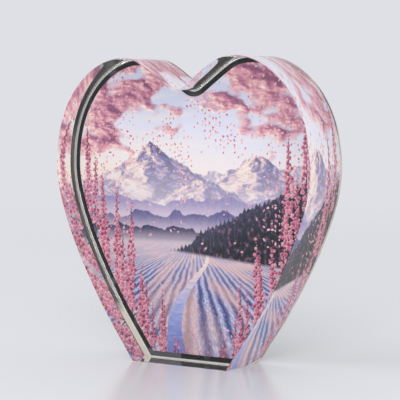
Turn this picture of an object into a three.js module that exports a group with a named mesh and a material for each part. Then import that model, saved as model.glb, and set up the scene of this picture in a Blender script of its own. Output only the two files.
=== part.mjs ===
// Heart-shaped photo block: a thick clear acrylic heart that stands on its own flat-cut foot.
// A picture is bonded to its rear face, and a black backing sheet covers the picture and its clear margin.
// Millimetres. X is the width, Y the depth with the front face towards -Y, and Z is up.
// The origin lies under the middle of the foot.
import * as THREE from 'three';

// Overall size of the clear block
const BLOCK_WIDTH = 150;
const BLOCK_HEIGHT = 150;
const BLOCK_DEPTH = 30;

// Heart outline: a flat foot, a straight flank, and one flowing edge over the side and the lobe to the notch
const FOOT_WIDTH = 56;
const FLANK_LEAN_DEG = 35.5; // from the vertical
const FLANK_LENGTH = 24;
const WIDEST_HEIGHT = 96.5;
const LOBE_OFFSET = 34; // from the middle plane to the top of each lobe
const NOTCH_DEPTH = 16; // below the top of the lobes
const NOTCH_RADIUS = 6.5;
const NOTCH_SLOPE_DEG = 35; // from the horizontal

// How far the edge runs on in its own direction before it turns, on each side of a point that it passes
const FLANK_REACH = 10;
const SIDE_REACH_BELOW = 27;
const SIDE_REACH_ABOVE = 38;
const LOBE_REACH_OUT = 15;
const LOBE_REACH_IN = 11;
const NOTCH_REACH = 21;

// Edge finish of the block
const FRONT_ARRIS = 0.3;
const REAR_CHAMFER = 0.5;

// Sheets bonded to the rear face
const FILM_THICKNESS = 0.1;
const PRINT_THICKNESS = 0.25;
const BACKING_THICKNESS = 0.4;
const PRINT_MARGIN = 3.4; // from the block's outline to the edge of the picture
const BACKING_SETBACK = 0.15; // from the inner edge of the rear chamfer to the edge of the backing
const POCKET_CLEARANCE = 0.3; // between the edge of the picture and the step in the backing
const STEP_RUN = 0.4; // how far the step in the back of the backing spreads outwards as it drops

// Straight steps along each curve of half the outline
const SIDE_STEPS = 30;
const LOBE_STEPS = 32;
const DIP_STEPS = 20;
const NOTCH_STEPS = 6;

// The stack of faces along the depth, centred on the origin
const FRONT_FACE = -(BLOCK_DEPTH + FILM_THICKNESS + PRINT_THICKNESS + BACKING_THICKNESS) / 2;
const REAR_FACE = FRONT_FACE + BLOCK_DEPTH;
const FILM_BACK = REAR_FACE + FILM_THICKNESS;
const PRINT_BACK = FILM_BACK + PRINT_THICKNESS;
const BACKING_BACK = PRINT_BACK + BACKING_THICKNESS;
const MARGIN_BACK = REAR_FACE + BACKING_THICKNESS;

// The right half of the outline, from the corner of the foot up to the bottom of the notch
function halfOutline() {
  const lean = THREE.MathUtils.degToRad(FLANK_LEAN_DEG);
  const slope = THREE.MathUtils.degToRad(NOTCH_SLOPE_DEG);
  const alongFlank = new THREE.Vector2(Math.sin(lean), Math.cos(lean));
  const outOfNotch = new THREE.Vector2(Math.cos(slope), Math.sin(slope));
  const notchCentre = new THREE.Vector2(0, BLOCK_HEIGHT - NOTCH_DEPTH + NOTCH_RADIUS);

  const foot = new THREE.Vector2(FOOT_WIDTH / 2, 0);
  const flankTop = foot.clone().addScaledVector(alongFlank, FLANK_LENGTH);
  const widest = new THREE.Vector2(BLOCK_WIDTH / 2, WIDEST_HEIGHT);
  const lobeTop = new THREE.Vector2(LOBE_OFFSET, BLOCK_HEIGHT);
  const notchStart = new THREE.Vector2(Math.sin(slope), -Math.cos(slope))
    .multiplyScalar(NOTCH_RADIUS)
    .add(notchCentre);

  const side = new THREE.CubicBezierCurve(
    flankTop,
    flankTop.clone().addScaledVector(alongFlank, FLANK_REACH),
    new THREE.Vector2(widest.x, widest.y - SIDE_REACH_BELOW),
    widest,
  );
  const lobe = new THREE.CubicBezierCurve(
    widest,
    new THREE.Vector2(widest.x, widest.y + SIDE_REACH_ABOVE),
    new THREE.Vector2(lobeTop.x + LOBE_REACH_OUT, lobeTop.y),
    lobeTop,
  );
  const dip = new THREE.CubicBezierCurve(
    lobeTop,
    new THREE.Vector2(lobeTop.x - LOBE_REACH_IN, lobeTop.y),
    notchStart.clone().addScaledVector(outOfNotch, NOTCH_REACH),
    notchStart,
  );
  const notch = new THREE.EllipseCurve(
    notchCentre.x,
    notchCentre.y,
    NOTCH_RADIUS,
    NOTCH_RADIUS,
    slope - Math.PI / 2,
    -Math.PI / 2,
    true,
  );

  const points = [foot, flankTop];
  const curves = [
    [side, SIDE_STEPS],
    [lobe, LOBE_STEPS],
    [dip, DIP_STEPS],
    [notch, NOTCH_STEPS],
  ];
  for (const [curve, steps] of curves) {
    points.push(...curve.getPoints(steps).slice(1));
  }
  return points;
}

// The whole outline as a closed loop, counter-clockwise as seen from the front
function heartLoop() {
  const right = halfOutline();
  right[right.length - 1].x = 0;
  const left = right
    .slice(0, -1)
    .reverse()
    .map((point) => new THREE.Vector2(-point.x, point.y));
  return [...right, ...left];
}

// The loop moved inwards by a distance, with its corners mitred
function inset(loop, distance) {
  const edgeNormal = (from, to) => {
    const edge = to.clone().sub(from).normalize();
    return new THREE.Vector2(-edge.y, edge.x);
  };
  return loop.map((point, index) => {
    const before = loop[(index + loop.length - 1) % loop.length];
    const after = loop[(index + 1) % loop.length];
    const normalIn = edgeNormal(before, point);
    const normalOut = edgeNormal(point, after);
    const mitre = normalIn.clone().add(normalOut);
    mitre.multiplyScalar(distance / (1 + normalIn.dot(normalOut)));
    return point.clone().add(mitre);
  });
}

// A closed body through a chain of rings, each a loop set at a depth. The first and last rings are capped.
function ringedSolid(rings) {
  const count = rings[0].loop.length;
  const positions = [];
  for (const { loop, depth } of rings) {
    for (const point of loop) positions.push(point.x, depth, point.y);
  }

  const indices = [];
  for (let ring = 0; ring < rings.length - 1; ring += 1) {
    for (let step = 0; step < count; step += 1) {
      const here = ring * count + step;
      const next = ring * count + ((step + 1) % count);
      indices.push(here, next + count, next);
      indices.push(here, here + count, next + count);
    }
  }

  const lastRing = (rings.length - 1) * count;
  for (const [a, b, c] of THREE.ShapeUtils.triangulateShape(rings[0].loop, [])) {
    indices.push(a, b, c);
  }
  for (const [a, b, c] of THREE.ShapeUtils.triangulateShape(rings.at(-1).loop, [])) {
    indices.push(lastRing + a, lastRing + c, lastRing + b);
  }

  const geometry = new THREE.BufferGeometry();
  geometry.setAttribute('position', new THREE.Float32BufferAttribute(positions, 3));
  geometry.setIndex(indices);
  geometry.computeVertexNormals();
  return geometry;
}

const outline = heartLoop();
const printEdge = inset(outline, PRINT_MARGIN);

// The block: an arris on the front edge, and a chamfer that follows the whole rear edge round notch and foot
function acrylicBlock() {
  const geometry = ringedSolid([
    { loop: inset(outline, FRONT_ARRIS), depth: FRONT_FACE },
    { loop: outline, depth: FRONT_FACE + FRONT_ARRIS },
    { loop: outline, depth: REAR_FACE - REAR_CHAMFER },
    { loop: inset(outline, REAR_CHAMFER), depth: REAR_FACE },
  ]);
  const material = new THREE.MeshStandardMaterial({
    color: 0xeef4f3,
    roughness: 0.03,
    metalness: 0,
    transparent: true,
    opacity: 0.3,
  });
  return new THREE.Mesh(geometry, material);
}

// A flat sheet with the outline of the picture, between two depths
function pictureSheet(front, back) {
  return ringedSolid([
    { loop: printEdge, depth: front },
    { loop: printEdge, depth: back },
  ]);
}

// Clear film under the whole picture, which holds it to the block without air
function adhesiveFilm() {
  const material = new THREE.MeshStandardMaterial({
    color: 0xf2f4f2,
    roughness: 0.08,
    metalness: 0,
    transparent: true,
    opacity: 0.4,
  });
  return new THREE.Mesh(pictureSheet(REAR_FACE, FILM_BACK), material);
}

// The picture faces the film, so it is seen through the block
function photoPrint() {
  const material = new THREE.MeshStandardMaterial({
    color: 0xc3bcd6,
    roughness: 0.35,
    metalness: 0,
  });
  return new THREE.Mesh(pictureSheet(FILM_BACK, PRINT_BACK), material);
}

// The backing: one sheet of even thickness, pressed down over the edge of the picture on to the block's margin
function backingSheet() {
  const pocketInset = PRINT_MARGIN - POCKET_CLEARANCE;
  const pocketEdge = inset(outline, pocketInset);
  const stepFoot = inset(outline, pocketInset - STEP_RUN);
  const outerEdge = inset(outline, REAR_CHAMFER + BACKING_SETBACK);
  const geometry = ringedSolid([
    { loop: pocketEdge, depth: PRINT_BACK },
    { loop: pocketEdge, depth: REAR_FACE },
    { loop: outerEdge, depth: REAR_FACE },
    { loop: outerEdge, depth: MARGIN_BACK },
    { loop: stepFoot, depth: MARGIN_BACK },
    { loop: pocketEdge, depth: BACKING_BACK },
  ]);
  const material = new THREE.MeshStandardMaterial({
    color: 0x151518,
    roughness: 0.6,
    metalness: 0,
  });
  return new THREE.Mesh(geometry, material);
}

const photoBlock = new THREE.Group();
const pieces = {
  acrylic_block: acrylicBlock(),
  adhesive_film: adhesiveFilm(),
  photo_print: photoPrint(),
  backing_sheet: backingSheet(),
};
for (const [name, mesh] of Object.entries(pieces)) {
  mesh.name = name;
  photoBlock.add(mesh);
}

export default photoBlock;
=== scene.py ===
import math
from functools import partial

import bmesh
import bpy
from mathutils import Matrix, Vector
from mathutils.geometry import interpolate_bezier


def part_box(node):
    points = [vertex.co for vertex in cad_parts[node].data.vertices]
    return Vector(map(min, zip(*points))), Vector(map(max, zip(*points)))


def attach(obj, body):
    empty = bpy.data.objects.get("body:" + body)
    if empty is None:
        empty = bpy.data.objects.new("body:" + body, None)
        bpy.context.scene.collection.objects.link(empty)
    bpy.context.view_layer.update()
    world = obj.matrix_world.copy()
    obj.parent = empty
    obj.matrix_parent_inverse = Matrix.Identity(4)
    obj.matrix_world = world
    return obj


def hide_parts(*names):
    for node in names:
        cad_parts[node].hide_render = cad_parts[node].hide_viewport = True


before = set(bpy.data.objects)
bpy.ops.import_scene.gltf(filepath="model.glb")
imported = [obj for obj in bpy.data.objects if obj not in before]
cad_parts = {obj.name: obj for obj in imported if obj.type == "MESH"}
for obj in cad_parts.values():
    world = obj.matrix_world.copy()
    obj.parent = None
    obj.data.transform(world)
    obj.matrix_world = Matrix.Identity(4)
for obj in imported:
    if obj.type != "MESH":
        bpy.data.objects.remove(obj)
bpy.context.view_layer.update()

# Clear block
# One thick piece of cast acrylic, cut to a heart with a flat foot, and polished on every face.
# Its front edge has a small arris. A wider chamfer runs round its rear edge, mitred at notch and foot.
MM = 0.001
FOOT_WIDTH = 56 * MM
FLANK_LEAN = math.radians(35.5)
FLANK_LENGTH = 24 * MM
WIDEST_HEIGHT = 96.5 * MM
LOBE_OFFSET = 34 * MM
NOTCH_DEPTH = 16 * MM
NOTCH_RADIUS = 6.5 * MM
NOTCH_SLOPE = math.radians(35)
FLANK_REACH = 10 * MM
SIDE_REACH_BELOW = 27 * MM
SIDE_REACH_ABOVE = 38 * MM
LOBE_REACH_OUT = 15 * MM
LOBE_REACH_IN = 11 * MM
NOTCH_REACH = 21 * MM
FRONT_ARRIS = 0.3 * MM
REAR_CHAMFER = 0.5 * MM
BACKING_SETBACK = 0.15 * MM
CURVE_STEPS = 90
NOTCH_STEPS = 24
SHARP_ANGLE = math.radians(12)
BODY = "root"

block_low, block_high = (Vector(corner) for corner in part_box("acrylic_block"))
print_low, print_high = (Vector(corner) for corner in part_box("photo_print"))


def half_outline():
    """The right half of the heart, from the corner of the foot up to the bottom of the notch."""
    along_flank = Vector((math.sin(FLANK_LEAN), math.cos(FLANK_LEAN)))
    out_of_notch = Vector((math.cos(NOTCH_SLOPE), math.sin(NOTCH_SLOPE)))
    notch_centre = Vector((0, block_high.z - NOTCH_DEPTH + NOTCH_RADIUS))
    foot = Vector((FOOT_WIDTH / 2, block_low.z))
    flank_top = foot + FLANK_LENGTH * along_flank
    widest = Vector((block_high.x, WIDEST_HEIGHT))
    lobe_top = Vector((LOBE_OFFSET, block_high.z))
    notch_start = notch_centre + NOTCH_RADIUS * Vector((math.sin(NOTCH_SLOPE), -math.cos(NOTCH_SLOPE)))
    before_notch = notch_start + NOTCH_REACH * out_of_notch
    curves = [
        (flank_top, flank_top + FLANK_REACH * along_flank, widest - Vector((0, SIDE_REACH_BELOW)), widest),
        (widest, widest + Vector((0, SIDE_REACH_ABOVE)), lobe_top + Vector((LOBE_REACH_OUT, 0)), lobe_top),
        (lobe_top, lobe_top - Vector((LOBE_REACH_IN, 0)), before_notch, notch_start),
    ]
    points = [foot, flank_top]
    for curve in curves:
        points += [point.to_2d() for point in interpolate_bezier(*curve, CURVE_STEPS)[1:]]
    for step in range(1, NOTCH_STEPS + 1):
        angle = NOTCH_SLOPE * (1 - step / NOTCH_STEPS)
        points.append(notch_centre + NOTCH_RADIUS * Vector((math.sin(angle), -math.cos(angle))))
    return points


def inset(loop, distance):
    """The loop moved inwards, with its corners mitred."""
    moved = []
    for index, point in enumerate(loop):
        edge_in = (point - loop[index - 1]).normalized()
        edge_out = (loop[(index + 1) % len(loop)] - point).normalized()
        normal_in = Vector((-edge_in.y, edge_in.x))
        normal_out = Vector((-edge_out.y, edge_out.x))
        moved.append(point + (normal_in + normal_out) * distance / (1 + normal_in.dot(normal_out)))
    return moved


def ringed_piece(name, rings, materials, finishes):
    """A closed mesh through loops set at depths.

    finishes picks a material for the front, for each band between two loops, and for the back.
    """
    mesh = bmesh.new()
    loops = [[mesh.verts.new((point.x, depth, point.y)) for point in loop] for loop, depth in rings]
    count = len(loops[0])
    front = mesh.faces.new(loops[0])
    front.material_index = finishes[0]
    for ring, behind, finish in zip(loops, loops[1:], finishes[1:]):
        for step in range(count):
            after = (step + 1) % count
            face = mesh.faces.new((ring[step], behind[step], behind[after], ring[after]))
            face.material_index = finish
    back = mesh.faces.new(reversed(loops[-1]))
    back.material_index = finishes[-1]
    mesh.normal_update()
    for face in mesh.faces:
        face.smooth = True
    for edge in mesh.edges:
        edge.smooth = edge.calc_face_angle(0) < SHARP_ANGLE
    data = bpy.data.meshes.new(name)
    mesh.to_mesh(data)
    mesh.free()
    for material in materials:
        data.materials.append(material)
    piece = bpy.data.objects.new(name, data)
    bpy.context.scene.collection.objects.link(piece)
    return piece


def linear(hex_colour):
    """An sRGB colour such as #c8a0b4 as linear RGBA."""
    channels = [int(hex_colour[start:start + 2], 16) / 255 for start in (1, 3, 5)]
    return [c / 12.92 if c <= 0.04045 else ((c + 0.055) / 1.055) ** 2.4 for c in channels] + [1.0]


def add_node(tree, kind, inputs=None, stops=(), **settings):
    """Adds a node with its settings and its ramp's colour stops. kind is its type without "ShaderNode".

    Each input is a value, a hex colour, an output to link, or a whole node, which links its first output.
    """
    node = tree.nodes.new("ShaderNode" + kind)
    for name, value in settings.items():
        setattr(node, name, value)
    if stops:
        elements = node.color_ramp.elements
        for place, _ in stops[1:-1]:
            elements.new(place)
        for element, (place, colour) in zip(elements, stops):
            element.position = place
            element.color = linear(colour)
    in_use = [socket for socket in node.inputs if socket.enabled]
    for key, value in (inputs or {}).items():
        socket = in_use[key] if isinstance(key, int) else next(s for s in in_use if s.name == key)
        if isinstance(value, str):
            value = linear(value)
        if isinstance(value, bpy.types.Node):
            value = next(s for s in value.outputs if s.enabled)
        if isinstance(value, bpy.types.NodeSocket):
            tree.links.new(value, socket)
        else:
            socket.default_value = value
    return node


def new_material(name):
    """An empty node material, and a function that adds nodes to it."""
    material = bpy.data.materials.new(name)
    material.use_nodes = True
    material.node_tree.nodes.clear()
    return material, partial(add_node, material.node_tree)


def clear_acrylic(name, tint, roughness, haze, glint_frost_left_of, line_length, line_width, line_height,
                  lamp_light):
    """Clear acrylic with fine hazy lines along its edge. Lamps and near surfaces light what is behind it."""
    material, node = new_material(name)
    place = node("TexCoord").outputs["Object"]
    pitch = (1 / line_length, 1 / line_width, 1 / line_length)
    along_edge = node("VectorMath", {0: place, 1: pitch}, operation="MULTIPLY")
    lines = node("TexNoise", {"Vector": along_edge, "Scale": 1.0, "Detail": 2.0})
    relief = node("Bump", {"Distance": line_height, "Height": lines})
    clear = node("BsdfPrincipled", {
        "Base Color": tint,
        "Roughness": roughness,
        "IOR": ACRYLIC_IOR,
        "Specular Tint": FACE_REFLECTION,
        "Transmission Weight": 1.0,
        "Normal": relief,
    })

    # The haze follows the lines and grows towards the rear, most of all in the last 2 mm on the right.
    split = node("SeparateXYZ", {0: place})
    across, depth, height = split.outputs["X"], split.outputs["Y"], split.outputs["Z"]
    rear = block_high.y
    behind = node("MapRange", {"Value": depth, "From Min": rear - 9 * MM, "From Max": rear - 5 * MM,
                               "To Min": haze, "To Max": haze * 2.2})
    on_right = node("MapRange", {"Value": across, "From Min": 32 * MM, "From Max": 44 * MM,
                                 "To Min": 2.0, "To Max": 6.5})
    last = node("MapRange", {"Value": depth, "From Min": rear - 2.6 * MM, "From Max": rear - 1.5 * MM,
                             "To Min": 1.0, "To Max": on_right})
    scratched = node("MapRange", {"Value": lines, "From Min": 0.32, "From Max": 0.68,
                                  "To Min": 0.4, "To Max": 1.6})
    scratched = node("Math", {0: scratched, 1: behind}, operation="MULTIPLY")
    scratched = node("Math", {0: scratched, 1: last}, operation="MULTIPLY")

    # The shoulders of the heart are polished clearer than the rest.
    from_shoulder = node("Math", {0: height, 1: SHOULDER_HEIGHT}, operation="SUBTRACT")
    from_shoulder = node("Math", {0: from_shoulder}, operation="ABSOLUTE")
    rubbed = node("MapRange", {"Value": from_shoulder, "From Min": 6 * MM, "From Max": 16 * MM,
                               "To Min": 0.3, "To Max": 1.0}, interpolation_type="SMOOTHSTEP")
    scratched = node("Math", {0: scratched, 1: rubbed}, operation="MULTIPLY")

    # Near the foot, frosted places stand in for glints, as painted glints lit by the lamps: a strip along
    # the rear of the left flank, and a wedge at each rear corner of the foot, which stops at the foot's own
    # face.
    strip = node("MapRange", {"Value": depth, "From Min": rear - 8 * MM, "From Max": rear - 7 * MM})
    on_flank = node("Math", {0: across, 1: glint_frost_left_of}, operation="LESS_THAN")
    strip = node("Math", {0: strip, 1: on_flank}, operation="MULTIPLY")
    wedge = node("Math", {0: depth, 1: -WEDGE_RISE, 2: height}, operation="MULTIPLY_ADD")
    wedge_top = 3.2 * MM - WEDGE_RISE * rear
    wedge = node("MapRange", {"Value": wedge, "From Min": wedge_top, "From Max": wedge_top - 0.6 * MM})
    off_foot = node("Math", {0: height, 1: 0.01 * MM}, operation="GREATER_THAN")
    wedge = node("Math", {0: wedge, 1: off_foot}, operation="MULTIPLY")
    # Painted glints: where this mask is strong, the cream scatter below lights up like a glint at the foot.
    glint_frost = node("Math", {0: strip, 1: wedge}, operation="MAXIMUM")
    low = node("MapRange", {"Value": height, "From Min": 29 * MM, "From Max": 21 * MM,
                            "To Max": 0.95 if haze else 0.0})
    glint_frost = node("Math", {0: glint_frost, 1: low}, operation="MULTIPLY")
    scratched = node("Math", {0: scratched, 1: glint_frost}, operation="MAXIMUM")
    lit_here = node("BsdfDiffuse", {"Color": "#f3e9da"})
    lit_behind = node("BsdfTranslucent", {"Color": "#f3e9da"})
    scratches = node("MixShader", {0: 0.6, 1: lit_here, 2: lit_behind})
    surface = node("MixShader", {0: scratched, 1: clear, 2: scratches})

    straight_through = node("BsdfTransparent", {"Color": lamp_light})
    path = node("LightPath")
    surface = node("MixShader", {0: path.outputs["Is Shadow Ray"], 1: surface, 2: straight_through})
    surface = node("MixShader", {0: path.outputs["Is Diffuse Ray"], 1: surface, 2: straight_through})
    node("OutputMaterial", {"Surface": surface})
    return material


# Cast acrylic: water-clear with a trace of grey-green. Its IOR is raised from the usual 1.49, because the
# photograph shows the rear edges less deep behind the front face than 1.49 gives. The tint on its
# reflection brings that back to the 4 % of real acrylic.
ACRYLIC_IOR = 1.68
FACE_REFLECTION = "#cbcbcb"
SHOULDER_HEIGHT = 125 * MM
# The frosted wedges are painted glints at the rear corners of the foot.
WEDGE_RISE = 0.24  # of the frosted wedges, per length towards the rear
NOWHERE = -1.0  # left of the whole block
EVERYWHERE = 1.0  # right of the whole block

right_half = half_outline()
right_half[-1].x = 0
outline = right_half + [Vector((-point.x, point.y)) for point in reversed(right_half[:-1])]

# The film and the backing touch the block without air, so the clear body runs on just past the picture's
# face. Only under the lifted rim of the backing is there air.
LIFTED_RIM = 0.45 * MM
LIFT = 0.05 * MM
wetted = inset(outline, REAR_CHAMFER + BACKING_SETBACK + LIFTED_RIM)
wetted_depth = print_low.y + 0.02 * MM
block = ringed_piece(
    "heart_block",
    [
        (inset(outline, FRONT_ARRIS), block_low.y),
        (outline, block_low.y + FRONT_ARRIS),
        (outline, block_high.y - REAR_CHAMFER),
        (inset(outline, REAR_CHAMFER), block_high.y),
        (wetted, block_high.y),
        (wetted, wetted_depth),
    ],
    [
        # Cast face: as smooth as glass, with the faint long swell of cast sheet.
        clear_acrylic(
            "cast_acrylic_face",
            tint="#fafdfc",
            roughness=0.01,
            haze=0.0,
            glint_frost_left_of=NOWHERE,
            line_length=24 * MM,
            line_width=24 * MM,
            line_height=0.004 * MM,
            lamp_light="#f8fafa",
        ),
        # Diamond-polished edge: clear, with the faint hazy lines that the cutter leaves along the outline.
        # They are drawn 0.9 mm wide, where real ones are nearer 0.3, so that they show. They are thickest
        # along the rear, where the cutter ran out.
        clear_acrylic(
            "diamond_polished_edge",
            tint="#fafdfc",
            roughness=0.02,
            haze=0.055,
            glint_frost_left_of=-FOOT_WIDTH / 2 - 0.05 * MM,
            line_length=16 * MM,
            line_width=0.9 * MM,
            line_height=0.0024 * MM,
            lamp_light="#d0d3d3",
        ),
        # Buffed chamfer: scraped and buffed by hand, so it is a soft, slightly cream line of light.
        clear_acrylic(
            "buffed_chamfer",
            tint="#857b6d",
            roughness=0.22,
            haze=0.02,
            glint_frost_left_of=EVERYWHERE,
            line_length=40 * MM,
            line_width=0.8 * MM,
            line_height=0.0006 * MM,
            lamp_light="#d0d3d3",
        ),
    ],
    [0, 1, 1, 2, 0, 0, 0],
)
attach(block, BODY)
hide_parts("acrylic_block")

# Mounting film
# A sheet of optically clear acrylic adhesive, 0.1 mm thick, under the whole picture.
# It is rolled on without air, so the picture looks as if it lay inside the block.
PRINT_MARGIN = 3.4 * MM
HAIR = 0.01 * MM  # keeps the back of the film and the face of the picture out of one plane
film_low, film_high = (Vector(corner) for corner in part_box("adhesive_film"))
picture_edge = inset(outline, PRINT_MARGIN)

# Clear adhesive: almost nothing to see, but for a trace of milkiness that drifts from place to place.
adhesive, node = new_material("clear_acrylic_adhesive")
place = node("TexCoord").outputs["Object"]
drift = node("TexNoise", {"Vector": place, "Scale": 1 / (18 * MM), "Detail": 3.0})
milkiness = node("MapRange", {"Value": drift, "To Max": 0.012})
see_through = node("BsdfTransparent")
haze = node("BsdfPrincipled", {
    "Base Color": "#eef0f1",
    "Roughness": 0.4,
    "Specular IOR Level": 0.0,
})
surface = node("MixShader", {0: milkiness, 1: see_through, 2: haze})
node("OutputMaterial", {"Surface": surface})
film = ringed_piece(
    "mounting_film",
    [(picture_edge, film_low.y), (picture_edge, film_high.y - HAIR)],
    [adhesive],
    [0, 0, 0],
)
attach(film, BODY)
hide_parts("adhesive_film")

# Picture
# A full-colour print on thin satin photographic paper, cut to the heart and stuck face first to the film.
# It shows a valley at dawn: clouds, a snowy range, misty hills, a wooded slope, lavender rows, a stream,
# petals on the wind and flower spikes. Places on it are in mm: u right of the middle, w above the foot.
paper, node = new_material("satin_photographic_paper")
place = node("TexCoord").outputs["Object"]
in_mm = node("VectorMath", {0: place, "Scale": 1 / MM}, operation="SCALE")
split = node("SeparateXYZ", {0: in_mm})
u, w = split.outputs["X"], split.outputs["Z"]
flat = node("CombineXYZ", {"X": u, "Y": w})

# Sky: lavender above and peach at the horizon, a little warmer on the left, with thin high streaks.
tilt = node("Math", {0: u, 1: 0.09, 2: w}, operation="MULTIPLY_ADD")
rise = node("MapRange", {"Value": tilt, "From Min": 76.0, "From Max": 146.0})
sky = node("ValToRGB", {0: rise}, stops=[
    (0.0, "#fadfca"), (0.14, "#fbeadf"), (0.3, "#f6ecec"), (0.55, "#eae7f3"), (1.0, "#d6d9f0"),
])
streak_place = node("VectorMath", {0: flat, 1: (1 / 46, 1 / 5.5, 1)}, operation="MULTIPLY")
streaks = node("TexNoise", {"Vector": streak_place, "Scale": 1.0, "Detail": 5.0, "Roughness": 0.55},
               noise_dimensions="2D")
streaks = node("MapRange", {"Value": streaks, "From Min": 0.48, "From Max": 0.78, "To Max": 0.55},
               interpolation_type="SMOOTHSTEP")
painting = node("Mix", {"Factor": streaks, "A": sky, "B": "#fbeee8"}, data_type="RGBA")

# Cloud banks in the lobes, lit from low on the left.
cloud_place = node("VectorMath", {0: flat, 1: (1 / 30, 1 / 17, 1)}, operation="MULTIPLY")
billow = node("TexNoise", {"Vector": cloud_place, "Scale": 1.4, "Detail": 3.0}, noise_dimensions="2D")
bent = node("VectorMath", {0: billow.outputs["Color"], 1: (0.3, 0.3, 0), 2: cloud_place},
            operation="MULTIPLY_ADD")
towards_sun = node("VectorMath", {0: bent, 1: (-0.045, -0.04, 0)}, operation="ADD")
thickness = []
for spot in (bent, towards_sun):
    thickness.append(node("TexNoise", {"Vector": spot, "Scale": 1.5, "Detail": 8.0, "Roughness": 0.5},
                          noise_dimensions="2D"))
slope = node("Math", {0: thickness[0], 1: thickness[1]}, operation="SUBTRACT")
aside = node("Math", {0: u}, operation="ABSOLUTE")
lobes = node("Math", {0: aside, 1: 0.55, 2: w}, operation="MULTIPLY_ADD")
bank = node("MapRange", {"Value": lobes, "From Min": 112.0, "From Max": 162.0,
                         "To Min": -0.12, "To Max": 0.2})
body = node("Math", {0: thickness[0], 1: bank}, operation="ADD")
cloud = node("MapRange", {"Value": body, "From Min": 0.5, "From Max": 0.64},
             interpolation_type="SMOOTHSTEP")
light = node("Math", {0: body, 1: -0.2, 2: slope}, operation="MULTIPLY_ADD")
light = node("MapRange", {"Value": light, "From Min": -0.21, "From Max": -0.04})
tint = node("ValToRGB", {0: light}, stops=[
    (0.0, "#a06a88"), (0.28, "#c98ba4"), (0.55, "#e8b0bc"), (0.8, "#f8d5d2"), (1.0, "#fff1ea"),
])
painting = node("Mix", {"Factor": cloud, "A": painting, "B": tint}, data_type="RGBA")

# Mountains, one peak at a time from far to near. Each has a lit left side and a shaded right side, with
# spurs that fan out below its top.
# Place of the top, fall to the left and to the right per mm, haze at the top, seed
PEAKS = [
    (-52.0, 93.0, 0.30, 0.34, 0.62, 11.0),
    (10.0, 94.5, 0.36, 0.30, 0.60, 3.0),
    (60.0, 97.0, 0.42, 0.40, 0.55, 7.0),
    (-27.0, 108.0, 0.62, 0.56, 0.10, 1.0),
    (37.0, 103.0, 0.55, 0.60, 0.16, 5.0),
    (6.0, 91.0, 0.42, 0.48, 0.30, 9.0),
    (-62.0, 88.0, 0.50, 0.42, 0.40, 4.0),
]
bend = node("TexNoise", {"Vector": flat, "Scale": 0.16, "Detail": 4.0, "Roughness": 0.6},
            noise_dimensions="2D")
for top_u, top_w, fall_left, fall_right, haze_at_top, seed in PEAKS:
    # Outline of the peak
    jag_place = node("Math", {0: u, 1: 0.11, 2: seed * 7.3}, operation="MULTIPLY_ADD")
    jag = node("TexNoise", {"W": jag_place, "Scale": 1.0, "Detail": 6.0, "Roughness": 0.6},
               noise_dimensions="1D")
    across = node("Math", {0: u, 1: top_u}, operation="SUBTRACT")
    left_fall = node("Math", {0: across, 1: -fall_left}, operation="MULTIPLY")
    right_fall = node("Math", {0: across, 1: fall_right}, operation="MULTIPLY")
    fall = node("Math", {0: left_fall, 1: right_fall, 2: 2.0}, operation="SMOOTH_MAX")
    crest = node("Math", {0: jag, 1: 7.0, 2: top_w - 3.0}, operation="MULTIPLY_ADD")
    crest = node("Math", {0: crest, 1: fall}, operation="SUBTRACT")
    below = node("Math", {0: crest, 1: w}, operation="SUBTRACT")
    cover = node("MapRange", {"Value": below, "From Min": -0.2, "From Max": 0.25})

    # Spurs, lit from the left
    drop = node("Math", {0: top_w + 9.0, 1: w}, operation="SUBTRACT")
    fan = node("Math", {0: across, 1: drop}, operation="DIVIDE")
    down = node("Math", {0: w, 1: 0.13, 2: seed * 5.1}, operation="MULTIPLY_ADD")
    spur_place = node("CombineXYZ", {"X": fan, "Y": down})
    spur_place = node("VectorMath", {0: bend.outputs["Color"], 1: (0.42, 0.6, 0), 2: spur_place},
                      operation="MULTIPLY_ADD")
    relief = []
    for shift in (0.0, -0.11):
        spot = node("VectorMath", {0: spur_place, 1: (seed * 3.7 + shift, seed, 0)}, operation="ADD")
        relief.append(node("TexNoise", {"Vector": spot, "Scale": 1.7, "Detail": 6.0, "Roughness": 0.54},
                           noise_dimensions="2D"))
    slope = node("Math", {0: relief[0], 1: relief[1]}, operation="SUBTRACT")
    wander = node("TexNoise", {"W": down, "Scale": 1.0, "Detail": 4.0}, noise_dimensions="1D")
    ridge = node("Math", {0: wander, 1: -9.0, 2: 4.5}, operation="MULTIPLY_ADD")
    side = node("Math", {0: across, 1: ridge}, operation="ADD")
    side = node("MapRange", {"Value": side, "From Min": -5.0, "From Max": 5.0,
                             "To Min": 0.68, "To Max": 0.22})
    lit = node("Math", {0: slope, 1: 3.6, 2: side}, operation="MULTIPLY_ADD")
    snow = node("ValToRGB", {0: lit}, stops=[
        (0.0, "#565587"), (0.3, "#8280b2"), (0.5, "#bfa9c4"), (0.68, "#f1d2c6"), (1.0, "#fff1e4"),
    ])

    # Haze that thickens towards the foot
    haze = node("MapRange", {"Value": w, "From Min": 66.0, "From Max": top_w,
                             "To Min": 0.93, "To Max": haze_at_top})
    layer = node("Mix", {"Factor": haze, "A": snow, "B": "#e9dde9"}, data_type="RGBA")
    painting = node("Mix", {"Factor": cover, "A": painting, "B": layer}, data_type="RGBA")

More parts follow.
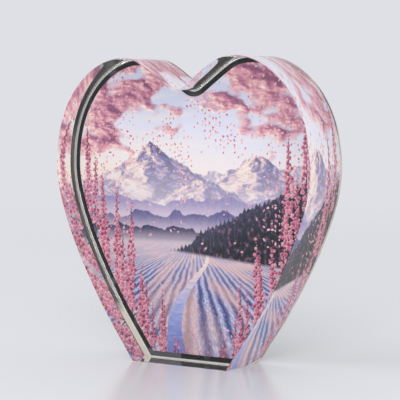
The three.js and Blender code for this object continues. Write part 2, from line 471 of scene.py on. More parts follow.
# Misty hills, from far to near.
# Height of the crest, its waves and how long they are, lit and shaded colour, foot, mist at the foot, seed
HILLS = [
    (80.0, 9.0, 34.0, "#b4aacb", "#a99fc6", 70.0, 0.80, 2.0),
    (73.0, 8.0, 24.0, "#8780ad", "#746f9f", 63.0, 0.75, 6.0),
    (66.0, 6.0, 17.0, "#5a5581", "#3e3c66", 58.5, 0.60, 4.0),
]
for crest_w, wave, length, lit_colour, shade_colour, foot_w, mist, seed in HILLS:
    roll_place = node("Math", {0: u, 1: 1 / length, 2: seed * 3.1}, operation="MULTIPLY_ADD")
    roll = node("TexNoise", {"W": roll_place, "Scale": 1.0, "Detail": 8.0, "Roughness": 0.55},
                noise_dimensions="1D")
    crest = node("Math", {0: roll, 1: wave * 2, 2: crest_w - wave}, operation="MULTIPLY_ADD")
    below = node("Math", {0: crest, 1: w}, operation="SUBTRACT")
    cover = node("MapRange", {"Value": below, "From Min": -0.2, "From Max": 0.3})
    tree_place = node("VectorMath", {0: flat, 1: (1 / 2.2, 1 / 3.4, 1), 2: (seed, seed, 0)},
                      operation="MULTIPLY_ADD")
    trees = node("TexNoise", {"Vector": tree_place, "Scale": 1.0, "Detail": 4.0, "Roughness": 0.6},
                 noise_dimensions="2D")
    trees = node("MapRange", {"Value": trees, "From Min": 0.36, "From Max": 0.64})
    layer = node("Mix", {"Factor": trees, "A": shade_colour, "B": lit_colour}, data_type="RGBA")
    mist_here = node("MapRange", {"Value": w, "From Min": foot_w, "From Max": crest_w + 1.0,
                                  "To Min": mist, "To Max": 0.0}, interpolation_type="SMOOTHSTEP")
    layer = node("Mix", {"Factor": mist_here, "A": layer, "B": "#ead9e3"}, data_type="RGBA")
    painting = node("Mix", {"Factor": cover, "A": painting, "B": layer}, data_type="RGBA")

# Valley floor: lavender rows that run to one far point.
HORIZON_W = 60.5
HALF_ROW_SPACING = 0.098  # for each mm below the horizon
below_horizon = node("Math", {0: HORIZON_W, 1: w}, operation="SUBTRACT")
near = node("Math", {0: below_horizon, 1: 0.6}, operation="MAXIMUM")
ray = node("Math", {0: u, 1: near}, operation="DIVIDE")
far = node("Math", {0: 34.0, 1: near}, operation="DIVIDE")
ground = node("CombineXYZ", {"X": ray, "Y": far})
uneven = node("TexNoise", {"Vector": ground, "Scale": 2.6, "Detail": 5.0, "Roughness": 0.6},
              noise_dimensions="2D")
rows = node("Math", {0: uneven, 1: 0.2, 2: ray}, operation="MULTIPLY_ADD")
rows = node("Math", {0: rows, 1: HALF_ROW_SPACING}, operation="PINGPONG")
rows = node("MapRange", {"Value": rows, "From Max": 0.085}, interpolation_type="SMOOTHSTEP")
tuft_place = node("VectorMath", {0: ground, 1: (34, 26, 1)}, operation="MULTIPLY")
tufts = node("TexNoise", {"Vector": tuft_place, "Scale": 1.0, "Detail": 4.0, "Roughness": 0.65},
             noise_dimensions="2D")
bloom = node("Math", {0: tufts, 1: 1.7, 2: rows}, operation="MULTIPLY_ADD")
bloom = node("MapRange", {"Value": bloom, "From Min": 0.5, "From Max": 2.1})
field = node("ValToRGB", {0: bloom}, stops=[
    (0.0, "#3c3c66"), (0.3, "#676a9f"), (0.55, "#9196c4"), (0.8, "#babcdd"), (1.0, "#ecdee6"),
])
sun_place = node("VectorMath", {0: ground, 1: (1.5, 0.55, 1)}, operation="MULTIPLY")
sun = node("TexNoise", {"Vector": sun_place, "Scale": 1.0, "Detail": 3.0}, noise_dimensions="2D")
sun = node("MapRange", {"Value": sun, "From Min": 0.44, "From Max": 0.66, "To Max": 0.6},
           interpolation_type="SMOOTHSTEP")
field = node("Mix", {"Factor": sun, "A": field, "B": "#efc6bd"}, data_type="RGBA")
glow = node("MapRange", {"Value": w, "From Min": 34.0, "From Max": 60.0, "To Max": 0.62},
            interpolation_type="SMOOTHSTEP")
field = node("Mix", {"Factor": glow, "A": field, "B": "#f0dadb"}, data_type="RGBA")

# Stream: it winds from the middle distance to the left, and its ripples show the colours of the sky.
swing = node("Math", {0: far, 1: 0.16}, operation="POWER")
swing = node("Math", {0: swing, 1: 11.0}, operation="MULTIPLY")
swing = node("Math", {0: swing}, operation="SINE")
sweep = node("Math", {0: near, 1: 0.42}, operation="MULTIPLY")
course = node("Math", {0: swing, 1: sweep, 2: 4.0}, operation="MULTIPLY_ADD")
from_course = node("Math", {0: u, 1: course}, operation="SUBTRACT")
from_course = node("Math", {0: from_course}, operation="ABSOLUTE")
ragged = node("TexNoise", {"Vector": flat, "Scale": 0.5, "Detail": 4.0, "Roughness": 0.6},
              noise_dimensions="2D")
reach = node("Math", {0: near, 1: 0.095, 2: 1.25}, operation="MULTIPLY_ADD")
reach = node("Math", {0: ragged, 1: -2.2, 2: reach}, operation="MULTIPLY_ADD")
inside = node("Math", {0: reach, 1: from_course}, operation="SUBTRACT")
stream = node("MapRange", {"Value": inside, "From Min": -0.15, "From Max": 0.25})
ripple_place = node("VectorMath", {0: flat, 1: (1 / 6.5, 1 / 0.95, 1)}, operation="MULTIPLY")
ripples = node("TexNoise", {"Vector": ripple_place, "Scale": 1.0, "Detail": 3.0, "Roughness": 0.6},
               noise_dimensions="2D")
mirrored = node("Math", {0: ripples, 1: 34.0, 2: w}, operation="MULTIPLY_ADD")
mirrored = node("MapRange", {"Value": mirrored, "From Min": 22.0, "From Max": 76.0})
water = node("ValToRGB", {0: mirrored}, stops=[
    (0.0, "#8b93cf"), (0.4, "#b4b9e3"), (0.7, "#ecd6da"), (1.0, "#fbe8dd"),
])
field = node("Mix", {"Factor": stream, "A": field, "B": water}, data_type="RGBA")
cover = node("MapRange", {"Value": below_horizon, "From Min": 0.4, "From Max": 2.4})
painting = node("Mix", {"Factor": cover, "A": painting, "B": field}, data_type="RGBA")

# Wooded slope on the right, with pointed tree tops.
TREE_WIDTH = 1.15
USUAL_RISE = 5.2  # what the swell of the ground and the trees add to its height
slope_w = node("MapRange", {"Value": u, "From Min": -26.0, "From Max": 71.0, "To Min": 49.0, "To Max": 94.0})
swell_place = node("Math", {0: u, 1: 1 / 19}, operation="MULTIPLY")
swell = node("TexNoise", {"W": swell_place, "Scale": 1.0, "Detail": 3.0}, noise_dimensions="1D")
wood_top = node("Math", {0: swell, 1: 9.0, 2: slope_w}, operation="MULTIPLY_ADD")
tree_number = node("Math", {0: u, 1: 1 / TREE_WIDTH}, operation="MULTIPLY")
which_tree = node("Math", {0: tree_number}, operation="FLOOR")
chance = node("TexWhiteNoise", {"W": which_tree}, noise_dimensions="1D")
tip_here = node("Math", {0: tree_number, 1: 1.0}, operation="PINGPONG")
tall = node("Math", {0: chance, 1: 2.6, 2: 0.5}, operation="MULTIPLY_ADD")
tip = node("Math", {0: tall, 1: tip_here, 2: wood_top}, operation="MULTIPLY_ADD")
below = node("Math", {0: tip, 1: w}, operation="SUBTRACT")
below = node("Math", {0: below, 1: USUAL_RISE}, operation="SUBTRACT")
cover = node("MapRange", {"Value": below, "From Min": -0.15, "From Max": 0.25})
wood_foot = node("MapRange", {"Value": u, "From Min": -28.0, "From Max": 71.0,
                              "To Min": 55.8, "To Max": 47.0})
above_foot = node("Math", {0: w, 1: wood_foot}, operation="SUBTRACT")
foot_cover = node("MapRange", {"Value": above_foot, "From Min": -0.8, "From Max": 0.8})
cover = node("Math", {0: cover, 1: foot_cover}, operation="MULTIPLY")
crown_place = node("VectorMath", {0: flat, 1: (1 / 1.9, 1 / 3.2, 1)}, operation="MULTIPLY")
crowns = node("TexNoise", {"Vector": crown_place, "Scale": 1.0, "Detail": 2.0, "Roughness": 0.5},
              noise_dimensions="2D")
wood = node("ValToRGB", {0: crowns}, stops=[
    (0.32, "#070d18"), (0.45, "#142233"), (0.55, "#2a3350"), (0.63, "#56405e"), (0.72, "#a06c7c"),
])
haze = node("MapRange", {"Value": below, "From Min": 14.0, "From Max": 0.0, "To Max": 0.2})
wood = node("Mix", {"Factor": haze, "A": wood, "B": "#a9a0c6"}, data_type="RGBA")
painting = node("Mix", {"Factor": cover, "A": painting, "B": wood}, data_type="RGBA")

# Petals on the wind, in loose swarms.
PETAL_GAP = 2.1
airborne = node("TexVoronoi", {"Vector": flat, "Scale": 1 / PETAL_GAP}, voronoi_dimensions="2D")
petal_draws = node("SeparateColor", {0: airborne.outputs["Color"]})
swarm = node("TexNoise", {"Vector": flat, "Scale": 1 / 20, "Detail": 2.0}, noise_dimensions="2D")
aside = node("Math", {0: u}, operation="ABSOLUTE")
outwards = node("MapRange", {"Value": aside, "From Min": 20.0, "From Max": 70.0, "To Max": 0.45})
swarm = node("MapRange", {"Value": swarm, "From Min": 0.42, "From Max": 0.7, "To Max": 0.7})
swarm = node("Math", {0: swarm, 1: outwards}, operation="ADD")
in_air = node("MapRange", {"Value": w, "From Min": 50.0, "From Max": 110.0, "To Min": 0.1})
swarm = node("Math", {0: swarm, 1: in_air}, operation="MULTIPLY")
in_swarm = node("Math", {0: petal_draws.outputs["Red"], 1: swarm}, operation="LESS_THAN")
from_petal = node("VectorMath", {0: flat, 1: airborne.outputs["Position"]}, operation="SUBTRACT")
any_way = node("Math", {0: petal_draws.outputs["Green"], 1: math.tau}, operation="MULTIPLY")
from_petal = node("VectorRotate", {"Vector": from_petal, "Angle": any_way}, rotation_type="Z_AXIS")
from_petal = node("VectorMath", {0: from_petal, 1: (1.0, 1.7, 0.0)}, operation="MULTIPLY")
reach = node("VectorMath", {0: from_petal}, operation="LENGTH")
petal_size = node("MapRange", {"Value": petal_draws.outputs["Blue"], "To Min": 0.5, "To Max": 0.95})
reach = node("Math", {0: reach, 1: petal_size}, operation="DIVIDE")
cover = node("MapRange", {"Value": reach, "From Min": 1.1, "From Max": 0.9})
cover = node("Math", {0: cover, 1: in_swarm}, operation="MULTIPLY")
shade = node("Math", {0: petal_draws.outputs["Green"], 1: 0.8, 2: reach}, operation="MULTIPLY_ADD")
blown = node("ValToRGB", {0: shade}, stops=[
    (0.0, "#7c3350"), (0.35, "#b95c7c"), (0.7, "#dc8fa6"), (1.0, "#f6cbd0"),
])
painting = node("Mix", {"Factor": cover, "A": painting, "B": blown}, data_type="RGBA")

# Flower spikes in the foreground, in three ranks from far to near. They stand tallest up both sides.
# Spacing and shift of the stems, tallest on the left and right, length and half width of the spike,
# blossom size, seed
RANKS = [
    (7.1, 1.7, 108.0, 110.0, 38.0, 1.7, 2.0, 3.0),
    (9.3, 6.4, 136.0, 136.0, 56.0, 2.6, 2.4, 8.0),
    (11.9, 3.1, 104.0, 100.0, 52.0, 3.4, 2.9, 5.0),
]
LEAF_GAP = 6.5
BUD_GAP = 1.5
for pitch, shift, tall_left, tall_right, spike, half_width, blossom, seed in RANKS:
    spare = pitch / 2 - half_width - 0.55 * blossom

    # Where the stems stand, and how tall each is.
    stem_number = node("Math", {0: u, 1: shift}, operation="ADD")
    stem_number = node("Math", {0: stem_number, 1: pitch}, operation="DIVIDE")
    which_stem = node("Math", {0: stem_number}, operation="FLOOR")
    seeded = node("Math", {0: which_stem, 1: seed * 13.7}, operation="ADD")
    chance = node("TexWhiteNoise", {"W": seeded}, noise_dimensions="1D")
    draws = node("SeparateColor", {0: chance.outputs["Color"]})
    centre = node("Math", {0: which_stem, 1: pitch, 2: pitch / 2 - shift}, operation="MULTIPLY_ADD")
    offset = node("MapRange", {"Value": draws.outputs["Red"], "To Min": -spare * 0.6, "To Max": spare * 0.6})
    lean = node("MapRange", {"Value": draws.outputs["Green"], "To Min": -spare * 0.5, "To Max": spare * 0.5})
    left_side = node("MapRange", {"Value": centre, "From Min": -62.0, "From Max": -8.0,
                                  "To Min": tall_left, "To Max": 6.0})
    right_side = node("MapRange", {"Value": centre, "From Min": 12.0, "From Max": 60.0,
                                   "To Min": 6.0, "To Max": tall_right})
    height = node("Math", {0: left_side, 1: right_side}, operation="MAXIMUM")
    vary = node("MapRange", {"Value": draws.outputs["Blue"], "To Min": 0.62})
    height = node("Math", {0: height, 1: vary}, operation="MULTIPLY")

    # Each stem leans by its own measure, more and more towards its top.
    share = node("Math", {0: w, 1: 0.01}, operation="MULTIPLY")
    share = node("Math", {0: share, 1: 2.0}, operation="POWER")
    stem_u = node("Math", {0: centre, 1: offset}, operation="ADD")
    stem_u = node("Math", {0: share, 1: lean, 2: stem_u}, operation="MULTIPLY_ADD")
    from_stem = node("Math", {0: u, 1: stem_u}, operation="SUBTRACT")
    aside = node("Math", {0: from_stem}, operation="ABSOLUTE")
    to_top = node("Math", {0: height, 1: w}, operation="SUBTRACT")

    # Stem, lit from the left.
    cover = node("MapRange", {"Value": aside, "From Min": 0.4, "From Max": 0.2})
    stem_end = node("MapRange", {"Value": to_top, "From Min": 2.0, "From Max": 6.0})
    cover = node("Math", {0: cover, 1: stem_end}, operation="MULTIPLY")
    lit = node("MapRange", {"Value": from_stem, "From Min": 0.3, "From Max": -0.35})
    stem = node("Mix", {"Factor": lit, "A": "#2f2436", "B": "#7c5a68"}, data_type="RGBA")
    painting = node("Mix", {"Factor": cover, "A": painting, "B": stem}, data_type="RGBA")

    # Narrow leaves in pairs below the spike.
    climb = node("Math", {0: chance, 1: 40.0, 2: w}, operation="MULTIPLY_ADD")
    climb = node("Math", {0: aside, 1: -1.25, 2: climb}, operation="MULTIPLY_ADD")
    droop = node("Math", {0: aside, 1: aside}, operation="MULTIPLY")
    climb = node("Math", {0: droop, 1: 0.16, 2: climb}, operation="MULTIPLY_ADD")
    climb = node("Math", {0: climb, 1: LEAF_GAP}, operation="FLOORED_MODULO")
    from_leaf = node("Math", {0: climb, 1: LEAF_GAP / 2}, operation="SUBTRACT")
    from_leaf = node("Math", {0: from_leaf}, operation="ABSOLUTE")
    leaf_room = node("MapRange", {"Value": aside, "From Min": pitch * 0.5, "From Max": 0.4, "To Max": 0.8})
    cover = node("Math", {0: leaf_room, 1: from_leaf}, operation="SUBTRACT")
    cover = node("MapRange", {"Value": cover, "From Min": -0.05, "From Max": 0.2})
    leaf_end = node("MapRange", {"Value": to_top, "From Min": spike - 2.0, "From Max": spike + 2.0})
    cover = node("Math", {0: cover, 1: leaf_end}, operation="MULTIPLY")
    lit = node("MapRange", {"Value": from_stem, "From Min": 2.0, "From Max": -2.0})
    leaf = node("Mix", {"Factor": lit, "A": "#332d47", "B": "#68607f"}, data_type="RGBA")
    painting = node("Mix", {"Factor": cover, "A": painting, "B": leaf}, data_type="RGBA")

    # Closed buds, left and right by turns up to the tip.
    which_bud = node("Math", {0: w, 1: 1 / BUD_GAP}, operation="MULTIPLY")
    bud_w = node("Math", {0: which_bud}, operation="FRACT")
    bud_w = node("Math", {0: bud_w, 1: 0.5}, operation="SUBTRACT")
    which_bud = node("Math", {0: which_bud}, operation="FLOOR")
    which_bud = node("Math", {0: which_bud, 1: 2.0}, operation="FLOORED_MODULO")
    bud_size = node("MapRange", {"Value": to_top, "From Max": 16.0, "To Min": 0.3, "To Max": 1.15})
    bud_u = node("Math", {0: which_bud, 1: 0.5}, operation="SUBTRACT")
    bud_u = node("Math", {0: bud_u, 1: bud_size}, operation="MULTIPLY")
    bud_u = node("Math", {0: from_stem, 1: bud_u}, operation="SUBTRACT")
    bud_w = node("Math", {0: bud_w, 1: BUD_GAP}, operation="MULTIPLY")
    from_bud = node("CombineXYZ", {"X": bud_u, "Y": bud_w})
    reach = node("VectorMath", {0: from_bud}, operation="LENGTH")
    reach = node("Math", {0: reach, 1: bud_size}, operation="DIVIDE")
    cover = node("MapRange", {"Value": reach, "From Min": 0.9, "From Max": 0.7})
    on_tip = node("MapRange", {"Value": to_top, "From Max": 0.4})
    cover = node("Math", {0: cover, 1: on_tip}, operation="MULTIPLY")
    off_leaves = node("MapRange", {"Value": to_top, "From Min": spike * 0.7, "From Max": spike * 0.6})
    cover = node("Math", {0: cover, 1: off_leaves}, operation="MULTIPLY")
    shade = node("VectorMath", {0: from_bud, 1: (-0.5, 0.3, 0)}, operation="DOT_PRODUCT")
    shade = node("Math", {0: shade, 1: 0.45}, operation="ADD")
    bud = node("ValToRGB", {0: shade}, stops=[
        (0.0, "#4f2238"), (0.35, "#a34e6e"), (0.6, "#d3839c"), (1.0, "#f0bcc6"),
    ])
    painting = node("Mix", {"Factor": cover, "A": painting, "B": bud}, data_type="RGBA")

    # Blossoms with five petals, one in each cell of a pattern, kept where their middle is in the spike.
    own_place = node("CombineXYZ", {"X": seeded, "Y": seeded})
    on_spike = node("CombineXYZ", {"X": from_stem, "Y": w})
    cell_place = node("VectorMath", {0: own_place, 1: (41.0, 29.0, 0), 2: on_spike},
                      operation="MULTIPLY_ADD")
    cells = node("TexVoronoi", {"Vector": cell_place, "Scale": 1 / blossom, "Randomness": 0.75},
                 voronoi_dimensions="2D")
    from_middle = node("VectorMath", {0: cell_place, 1: cells.outputs["Position"]}, operation="SUBTRACT")

    # Which blossoms are on the spike: it narrows towards its top.
    middle = node("VectorMath", {0: on_spike, 1: from_middle}, operation="SUBTRACT")
    middle = node("SeparateXYZ", {0: middle})
    along = node("Math", {0: height, 1: middle.outputs["Y"]}, operation="SUBTRACT")
    along = node("Math", {0: along, 1: spike}, operation="DIVIDE")
    width_here = node("MapRange", {"Value": along, "From Max": 0.55, "To Min": 0.9, "To Max": half_width},
                      interpolation_type="SMOOTHSTEP")
    room = node("Math", {0: middle.outputs["X"]}, operation="ABSOLUTE")
    within = node("Math", {0: room, 1: width_here}, operation="LESS_THAN")
    above_end = node("Math", {0: along, 1: 1.0}, operation="LESS_THAN")
    below_top = node("Math", {0: along, 1: 0.0}, operation="GREATER_THAN")
    within = node("Math", {0: within, 1: above_end}, operation="MULTIPLY")
    within = node("Math", {0: within, 1: below_top}, operation="MULTIPLY")

    # Five petals, turned at random and more open lower down.
    spread = node("SeparateXYZ", {0: from_middle})
    turn = node("Math", {0: spread.outputs["Y"], 1: spread.outputs["X"]}, operation="ARCTAN2")
    cell_draws = node("SeparateColor", {0: cells.outputs["Color"]})
    turn = node("Math", {0: cell_draws.outputs["Red"], 1: math.tau, 2: turn}, operation="MULTIPLY_ADD")
    five_fold = node("Math", {0: turn, 1: 2.5}, operation="MULTIPLY")
    five_fold = node("Math", {0: five_fold}, operation="COSINE")
    five_fold = node("Math", {0: five_fold}, operation="ABSOLUTE")
    rim = node("MapRange", {"Value": five_fold, "To Min": blossom * 0.34, "To Max": blossom * 0.62})
    opened = node("MapRange", {"Value": along, "From Max": 0.5, "To Min": 0.5})
    rim = node("Math", {0: rim, 1: opened}, operation="MULTIPLY")
    radius = node("VectorMath", {0: from_middle}, operation="LENGTH")
    reach = node("Math", {0: radius, 1: rim}, operation="DIVIDE")
    cover = node("MapRange", {"Value": reach, "From Min": 1.08, "From Max": 0.92})
    cover = node("Math", {0: cover, 1: within}, operation="MULTIPLY")
    glance = node("VectorMath", {0: from_middle, 1: (-0.38 / blossom, 0.29 / blossom, 0)},
                  operation="DOT_PRODUCT")
    shade = node("Math", {0: cell_draws.outputs["Green"], 1: 0.42, 2: glance}, operation="MULTIPLY_ADD")
    shade = node("Math", {0: reach, 1: 0.42, 2: shade}, operation="MULTIPLY_ADD")
    petal = node("ValToRGB", {0: shade}, stops=[
        (0.0, "#5c2640"), (0.13, "#9c4467"), (0.3, "#cf7896"),
        (0.55, "#e29db1"), (0.8, "#f1c3cb"), (1.0, "#fbe3e0"),
    ])
    painting = node("Mix", {"Factor": cover, "A": painting, "B": petal}, data_type="RGBA")

# Satin paper: the adhesive wets its face, so it has no gloss of its own there.
# Ink spreads a little in the paper, which deepens every tone.
printed = node("Gamma", {"Color": painting, "Gamma": 1.3})
ink = node("BsdfPrincipled", {"Base Color": printed, "Roughness": 0.4, "Specular IOR Level": 0.0})
node("OutputMaterial", {"Surface": ink})

# The sheet is drawn out almost to the step in the backing, so that no bright slit shows round it.
sheet_edge = inset(outline, PRINT_MARGIN - 0.2 * MM)
picture = ringed_piece(
    "picture_print",
    [(sheet_edge, print_low.y), (sheet_edge, print_high.y)],
    [paper],
    [0, 0, 0],
)
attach(picture, BODY)
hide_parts("photo_print")

# Backing
# Black self-adhesive vinyl, 0.4 mm thick, trimmed just inside the rear chamfer. It is pressed down over the
# picture's edge on to the block's clear margin. Its adhesive side is the dark band seen from the front.
POCKET_CLEARANCE = 0.3 * MM
STEP_SPREAD = 0.55 * MM
STEP_RINGS = 8
EDGE_EASING = 0.08 * MM
backing_low, backing_high = (Vector(corner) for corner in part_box("backing_sheet"))
BACKING_THICKNESS = backing_high.y - print_high.y
margin_back = backing_low.y + BACKING_THICKNESS
pocket_inset = PRINT_MARGIN - POCKET_CLEARANCE
pocket_edge = inset(outline, pocket_inset)
trim_inset = REAR_CHAMFER + BACKING_SETBACK

# Adhesive side: wetted by the block like the picture, so it is black without gloss. In a few places fine
# bubbles stayed under the roller, and it turns a soft grey. Over the left end of the foot it never took
# hold. Dust has settled on the rim that has lifted.
vinyl_sides = []
for name, bubbly_from, bubbly_to, patch, grey in (
    ("vinyl_adhesive_side", 0.58, 0.76, 14 * MM, "#5c5b60"),
    ("vinyl_lifted_rim", 0.45, 0.7, 3 * MM, "#3a3836"),
):
    side, node = new_material(name)
    place = node("TexCoord").outputs["Object"]
    bubbly = node("TexNoise", {"Vector": place, "Scale": 1 / patch, "Detail": 2.0})
    bubbly = node("MapRange", {"Value": bubbly, "From Min": bubbly_from, "From Max": bubbly_to},
                  interpolation_type="SMOOTHSTEP")
    split = node("SeparateXYZ", {0: place})
    streak_place = node("Math", {0: split.outputs["Z"], 1: 1.6, 2: split.outputs["X"]},
                        operation="MULTIPLY_ADD")
    streaks = node("Math", {0: streak_place, 1: 1 / (2.4 * MM)}, operation="MULTIPLY")
    streaks = node("TexNoise", {"W": streaks, "Scale": 1.0, "Detail": 3.0}, noise_dimensions="1D")
    dry = node("MapRange", {"Value": streaks, "From Min": 0.3, "From Max": 0.7, "To Min": 0.75})
    on_left = node("MapRange", {"Value": split.outputs["X"], "From Min": -8.6 * MM, "From Max": -9.2 * MM})
    at_foot = node("MapRange", {"Value": split.outputs["Z"], "From Min": 4.4 * MM, "From Max": 3.8 * MM})
    dry = node("Math", {0: dry, 1: on_left}, operation="MULTIPLY")
    dry = node("Math", {0: dry, 1: at_foot}, operation="MULTIPLY")
    bubbly = node("Math", {0: bubbly, 1: dry}, operation="MAXIMUM")
    black = node("Mix", {"Factor": bubbly, "A": "#060608", "B": grey}, data_type="RGBA")
    body = node("BsdfPrincipled", {"Base Color": black, "Roughness": 0.6, "Specular IOR Level": 0.0})
    node("OutputMaterial", {"Surface": body})
    vinyl_sides.append(side)

# Calendered matt vinyl: soft black with a fine pebbled grain, drawn at 0.5 mm where the real one is nearer
# 0.2, a few long handling scuffs, and a greyer, shinier look where hands have rubbed it. Over the edge of
# the picture, where it was stretched and every hand rubs it, it is shiniest. There its colours are also
# painted lighter, a painted highlight that stands in for the light its slopes catch.
vinyl_backs = []
for name, shiniest, dullest, dark, worn_and_highlit in (
    ("matt_calendered_vinyl", 0.34, 0.58, "#131315", "#2b2b2f"),
    # Painted highlight: the step's lighter dark and worn colours stand in for light caught by its slopes.
    ("vinyl_step_painted_highlight", 0.2, 0.34, "#232327", "#47474d"),
):
    back, node = new_material(name)
    place = node("TexCoord").outputs["Object"]
    pebbles = node("TexVoronoi", {"Vector": place, "Scale": 1 / (0.5 * MM)}, feature="SMOOTH_F1")
    swell = node("TexNoise", {"Vector": place, "Scale": 1 / (9 * MM), "Detail": 3.0})
    grain = node("Bump", {"Strength": 0.8, "Distance": 0.03 * MM, "Height": pebbles})
    relief = node("Bump", {"Distance": 0.16 * MM, "Height": swell, "Normal": grain})
    rubbed = node("TexNoise", {"Vector": place, "Scale": 1 / (35 * MM), "Detail": 5.0, "Roughness": 0.6})
    rubbed = node("MapRange", {"Value": rubbed, "From Min": 0.65, "From Max": 0.38})
    matt = node("MapRange", {"Value": rubbed, "To Min": dullest, "To Max": shiniest})
    scuff_pitch = (1 / (22 * MM), 1, 1 / (0.9 * MM))
    scuff_place = node("VectorMath", {0: place, 1: scuff_pitch}, operation="MULTIPLY")
    scuffs = node("TexNoise", {"Vector": scuff_place, "Scale": 1.0, "Detail": 3.0, "Distortion": 0.6})
    scuffs = node("MapRange", {"Value": scuffs, "From Min": 0.6, "From Max": 0.74})
    tone = node("Math", {0: pebbles, 1: 0.25, 2: rubbed}, operation="MULTIPLY_ADD")
    tone = node("Mix", {"Factor": tone, "A": dark, "B": worn_and_highlit}, data_type="RGBA")
    tone = node("Mix", {"Factor": scuffs, "A": tone, "B": "#4c4c52"}, data_type="RGBA")
    body = node("BsdfPrincipled", {"Base Color": tone, "Roughness": matt, "IOR": 1.53, "Normal": relief})
    node("OutputMaterial", {"Surface": body})
    vinyl_backs.append(back)

rings = [
    (pocket_edge, print_high.y),
    (pocket_edge, backing_low.y),
    (inset(outline, trim_inset + LIFTED_RIM), backing_low.y),
    (inset(outline, trim_inset + LIFTED_RIM - LIFT), backing_low.y + LIFT),
    (inset(outline, trim_inset), backing_low.y + LIFT),
    (inset(outline, trim_inset), margin_back - EDGE_EASING),
    (inset(outline, trim_inset + EDGE_EASING), margin_back),
]
finishes = [0, 0, 0, 1, 1, 2, 2, 2]
for ring in range(STEP_RINGS + 1):
    share = ring / STEP_RINGS
    eased = share * share * (3 - 2 * share)
    step_inset = pocket_inset + (2 * share - 1) * STEP_SPREAD
    rings.append((inset(outline, step_inset), margin_back + eased * (backing_high.y - margin_back)))
    finishes.append(3 if ring < STEP_RINGS else 2)
backing = ringed_piece("black_backing", rings, [*vinyl_sides, *vinyl_backs], finishes)
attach(backing, BODY)
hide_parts("backing_sheet")

# Floor
# A matt painted board that fades into the backdrop. It lies a hair below the foot, so the foot keeps its
# own mirror as on a real table, where air stays between the two.
AIR_UNDER_FOOT = 0.05 * MM
BACKDROP = "#dfe0e5"


def seen_directly(node):
    """1 for what the camera sees, also mirrored or through the block. 0 for light that falls on things."""
    path = node("LightPath")
    seen = node("Math", {0: path.outputs["Is Camera Ray"], 1: path.outputs["Is Glossy Ray"]},
                operation="MAXIMUM")
    seen = node("Math", {0: seen, 1: path.outputs["Is Transmission Ray"]}, operation="MAXIMUM")
    unbounced = node("Math", {0: path.outputs["Diffuse Depth"], 1: 0.5}, operation="LESS_THAN")
    return node("Math", {0: seen, 1: unbounced}, operation="MULTIPLY")


bpy.ops.mesh.primitive_circle_add(vertices=96, radius=6, fill_type="NGON", location=(0, 0, -AIR_UNDER_FOOT))
floor = bpy.context.object
floor.name = "studio_floor"
board, node = new_material("matt_painted_board")
place = node("TexCoord").outputs["Object"]
from_block = node("VectorMath", {0: place}, operation="LENGTH")
fade = node("MapRange", {"Value": from_block, "From Min": 0.3, "From Max": 1.2},
            interpolation_type="SMOOTHSTEP")
fade = node("Math", {0: fade, 1: seen_directly(node)}, operation="MULTIPLY")
roller = node("TexNoise", {"Vector": place, "Scale": 1 / (1.5 * MM), "Detail": 2.0})
gloss = node("MapRange", {"Value": roller, "To Min": 0.16, "To Max": 0.24})
paint = node("BsdfPrincipled", {"Base Color": "#e6e7ea", "Roughness": gloss})
glow = node("Emission", {"Color": BACKDROP})
surface = node("MixShader", {0: fade, 1: paint, 2: glow})
node("OutputMaterial", {"Surface": surface})
floor.data.materials.append(board)

# Studio
# A pale backdrop all round, and three large softboxes: one from the right of the camera, a weaker one from
# the left, and one from above and behind that lights the top edges and lays the shadow forward. The two in
# front don't show in mirrors, so that the floor has no glare when it is seen from behind the block.
scene = bpy.context.scene
world = bpy.data.worlds.new("pale_studio")
scene.world = world
world.use_nodes = True
world.node_tree.nodes.clear()
node = partial(add_node, world.node_tree)
ambient = node("Background", {"Color": "#f4f5f8", "Strength": 0.5})
backdrop = node("Background", {"Color": BACKDROP})
surface = node("MixShader", {0: seen_directly(node), 1: ambient, 2: backdrop})
node("OutputWorld", {"Surface": surface})


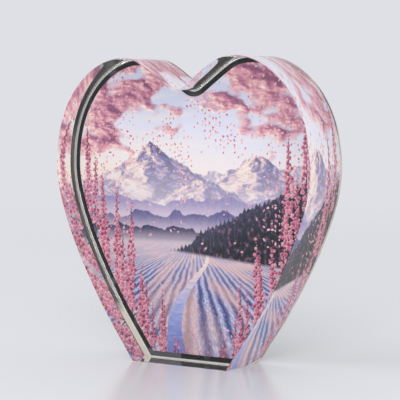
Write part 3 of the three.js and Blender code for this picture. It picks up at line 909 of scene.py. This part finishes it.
def softbox(name, place, size, watts, in_mirrors):
    """A large square lamp that faces the block."""
    lamp = bpy.data.lights.new(name, "AREA")
    lamp.size = size
    lamp.energy = watts
    holder = bpy.data.objects.new(name, lamp)
    scene.collection.objects.link(holder)
    holder.visible_glossy = in_mirrors
    holder.location = place
    holder.rotation_euler = (Vector((0, 0, 0.08)) - Vector(place)).to_track_quat("-Z", "Y").to_euler()


softbox("key_softbox", (1.1, -1.7, 1.2), size=1.3, watts=32, in_mirrors=False)
softbox("fill_softbox", (-1.7, -1.0, 1.1), size=1.2, watts=14, in_mirrors=False)
softbox("top_softbox", (-0.3, 0.8, 1.8), size=1.2, watts=5, in_mirrors=True)

# Camera
# It stands to the right of the block and looks slightly down. Its place, turn and lens come from fitting
# the block's outline and corners to the photograph.
CAMERA_AZIMUTH = math.radians(35.683)
CAMERA_DISTANCE = 726.2 * MM
CAMERA_HEIGHT = 128.43 * MM
CAMERA_PAN = math.radians(34.779)
CAMERA_TILT = math.radians(3.747)
CAMERA_ROLL = math.radians(-0.518)
LENS_MM = 135.5
camera_data = bpy.data.cameras.new("camera")
camera = bpy.data.objects.new("camera", camera_data)
scene.collection.objects.link(camera)
camera_data.lens = LENS_MM
ahead = Vector((
    -math.sin(CAMERA_PAN) * math.cos(CAMERA_TILT),
    math.cos(CAMERA_PAN) * math.cos(CAMERA_TILT),
    -math.sin(CAMERA_TILT),
))
across = ahead.cross(Vector((0, 0, 1))).normalized()
upwards = across.cross(ahead)
rolled_across = across * math.cos(CAMERA_ROLL) + upwards * math.sin(CAMERA_ROLL)
rolled_up = upwards * math.cos(CAMERA_ROLL) - across * math.sin(CAMERA_ROLL)
turn = Matrix((rolled_across, rolled_up, -ahead)).transposed().to_4x4()
place = Vector((
    CAMERA_DISTANCE * math.sin(CAMERA_AZIMUTH),
    block_low.y - CAMERA_DISTANCE * math.cos(CAMERA_AZIMUTH),
    CAMERA_HEIGHT,
))
camera.matrix_world = Matrix.Translation(place) @ turn
scene.camera = camera

# Clear pieces need many bounces, because a look into the block can meet several polished edges in turn.
scene.view_settings.view_transform = "Standard"
scene.cycles.caustics_refractive = False
scene.cycles.caustics_reflective = False
scene.cycles.glossy_bounces = 12
scene.cycles.transmission_bounces = 16
scene.cycles.max_bounces = 24
